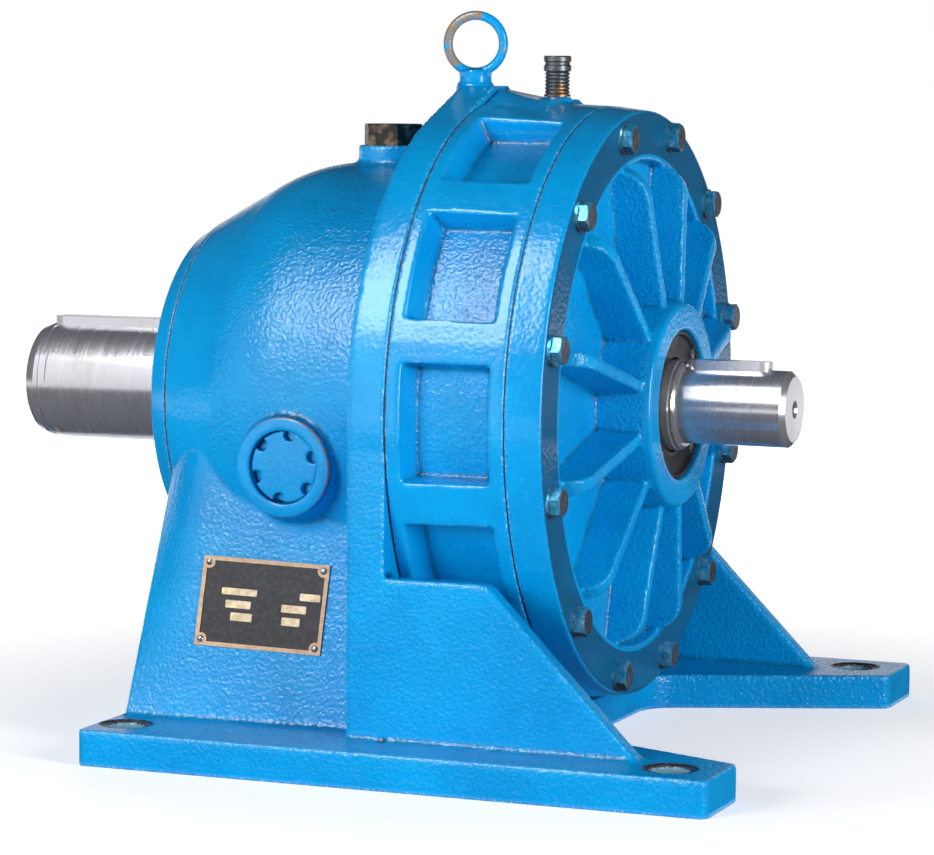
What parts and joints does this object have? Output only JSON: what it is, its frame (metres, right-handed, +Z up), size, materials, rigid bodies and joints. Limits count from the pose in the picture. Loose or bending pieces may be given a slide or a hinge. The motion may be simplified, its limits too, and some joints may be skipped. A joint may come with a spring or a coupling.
{
  "type": "cycloidal speed reducer",
  "caption": "Foot-mounted cycloidal speed reducer in a blue cast casing, with a thick keyed output shaft at one end and a thinner keyed input shaft at the other.",
  "frame": {"origin": "centre of the four foot bolt holes, on the plane the feet stand on", "axes": "+X along the shafts towards the input end, +Z up, shaft axis parallel to X at z = 0.25 m; the sight glass and nameplate side is -Y"},
  "size_m": [0.63, 0.53, 0.5375],
  "materials": {
    "blue_paint": "gloss paint on rough casting",
    "painted_bolt": "worn, yellowed zinc",
    "gasket": "matt fibre sheet",
    "dark_steel": "blackened, worn",
    "seal_rubber": "satin",
    "black_cover": "satin black",
    "plate_brass": "dulled",
    "bright_steel": "bright",
    "bearing_steel": "ground",
    "shaft_steel": "turned and ground",
    "polished_steel": "polished",
    "cage_brass": "machined cage with steel balls or rollers"
  },
  "bodies": {
    "housing": {"base_casing": "blue_paint", "pin_gear_housing": "blue_paint", "input_cover": "blue_paint", "output_end_cap": "blue_paint", "casing_gasket": "gasket", "cover_gasket": "gasket", "cap_gasket": "gasket", "flange_bolts": "painted_bolt", "cap_screws": "dark_steel", "eyebolt": "blue_paint", "filler_plug": "dark_steel", "oil_pipe": "dark_steel", "sight_glass_plug": "blue_paint", "sight_glass_seal": "seal_rubber", "drain_plug": "dark_steel", "nameplate": "plate_brass", "nameplate_rivets": "bright_steel", "output_oil_seal": "seal_rubber", "outboard_bearing_outer": "bearing_steel", "inboard_bearing_outer": "bearing_steel", "input_bearing_outer": "bearing_steel", "ring_pins": "bearing_steel", "ring_pin_sleeves": "bearing_steel", "bearing_snap_ring": "bearing_steel", "input_oil_seal": "seal_rubber", "seal_cover": "black_cover", "seal_cover_screws": "bright_steel"},
    "output": {"output_shaft": "shaft_steel", "output_key": "shaft_steel", "output_pins": "bearing_steel", "output_pin_rollers": "bearing_steel", "outboard_bearing_inner": "bearing_steel", "inboard_bearing_inner": "bearing_steel", "pilot_bearing_outer": "bearing_steel", "disc_spacer": "bearing_steel"},
    "input": {"input_shaft": "shaft_steel", "input_key": "shaft_steel", "wear_sleeve": "polished_steel", "shaft_snap_ring": "bearing_steel", "eccentric_sleeve": "shaft_steel", "eccentric_key": "shaft_steel", "input_bearing_inner": "bearing_steel", "pilot_bearing_inner": "bearing_steel"},
    "disc_a": {"cycloid_disc_a": "shaft_steel"},
    "disc_b": {"cycloid_disc_b": "shaft_steel"},
    "arm_rollers_a": {"arm_bearing_a": "cage_brass"},
    "arm_rollers_b": {"arm_bearing_b": "cage_brass"},
    "outboard_balls": {"outboard_bearing_balls": "cage_brass"},
    "inboard_balls": {"inboard_bearing_balls": "cage_brass"},
    "input_balls": {"input_bearing_balls": "cage_brass"},
    "pilot_balls": {"pilot_bearing_balls": "cage_brass"}
  },
  "joints": [
    {"name": "input_spin", "type": "hinge", "parent": "housing", "child": "input", "pos_m": [0.18, 0, 0.25], "axis": [1, 0, 0], "continuous": true},
    {"name": "output_spin", "type": "hinge", "parent": "housing", "child": "output", "pos_m": [-0.3, 0, 0.25], "axis": [1, 0, 0], "continuous": true},
    {"name": "disc_a_spin", "type": "hinge", "parent": "input", "child": "disc_a", "pos_m": [0.051, 0, 0.2435], "axis": [1, 0, 0], "continuous": true},
    {"name": "disc_b_spin", "type": "hinge", "parent": "input", "child": "disc_b", "pos_m": [0.017, 0, 0.2565], "axis": [1, 0, 0], "continuous": true},
    {"name": "arm_rollers_a_spin", "type": "hinge", "parent": "input", "child": "arm_rollers_a", "pos_m": [0.051, 0, 0.2435], "axis": [1, 0, 0], "continuous": true},
    {"name": "arm_rollers_b_spin", "type": "hinge", "parent": "input", "child": "arm_rollers_b", "pos_m": [0.017, 0, 0.2565], "axis": [1, 0, 0], "continuous": true},
    {"name": "outboard_balls_spin", "type": "hinge", "parent": "housing", "child": "outboard_balls", "pos_m": [-0.203, 0, 0.25], "axis": [1, 0, 0], "continuous": true},
    {"name": "inboard_balls_spin", "type": "hinge", "parent": "housing", "child": "inboard_balls", "pos_m": [-0.05, 0, 0.25], "axis": [1, 0, 0], "continuous": true},
    {"name": "input_balls_spin", "type": "hinge", "parent": "housing", "child": "input_balls", "pos_m": [0.095, 0, 0.25], "axis": [1, 0, 0], "continuous": true},
    {"name": "pilot_balls_spin", "type": "hinge", "parent": "output", "child": "pilot_balls", "pos_m": [-0.01, 0, 0.25], "axis": [1, 0, 0], "continuous": true}
  ],
  "couplings": [
    {"joint": "output_spin", "follows": "input_spin", "ratio": -0.090909},
    {"joint": "disc_a_spin", "follows": "input_spin", "ratio": -1.0909},
    {"joint": "disc_b_spin", "follows": "input_spin", "ratio": -1.0909},
    {"joint": "arm_rollers_a_spin", "follows": "input_spin", "ratio": -0.62848},
    {"joint": "arm_rollers_b_spin", "follows": "input_spin", "ratio": -0.62848},
    {"joint": "outboard_balls_spin", "follows": "input_spin", "ratio": -0.036883},
    {"joint": "inboard_balls_spin", "follows": "input_spin", "ratio": -0.036745},
    {"joint": "input_balls_spin", "follows": "input_spin", "ratio": 0.40294},
    {"joint": "pilot_balls_spin", "follows": "input_spin", "ratio": 0.42545}
  ]
}
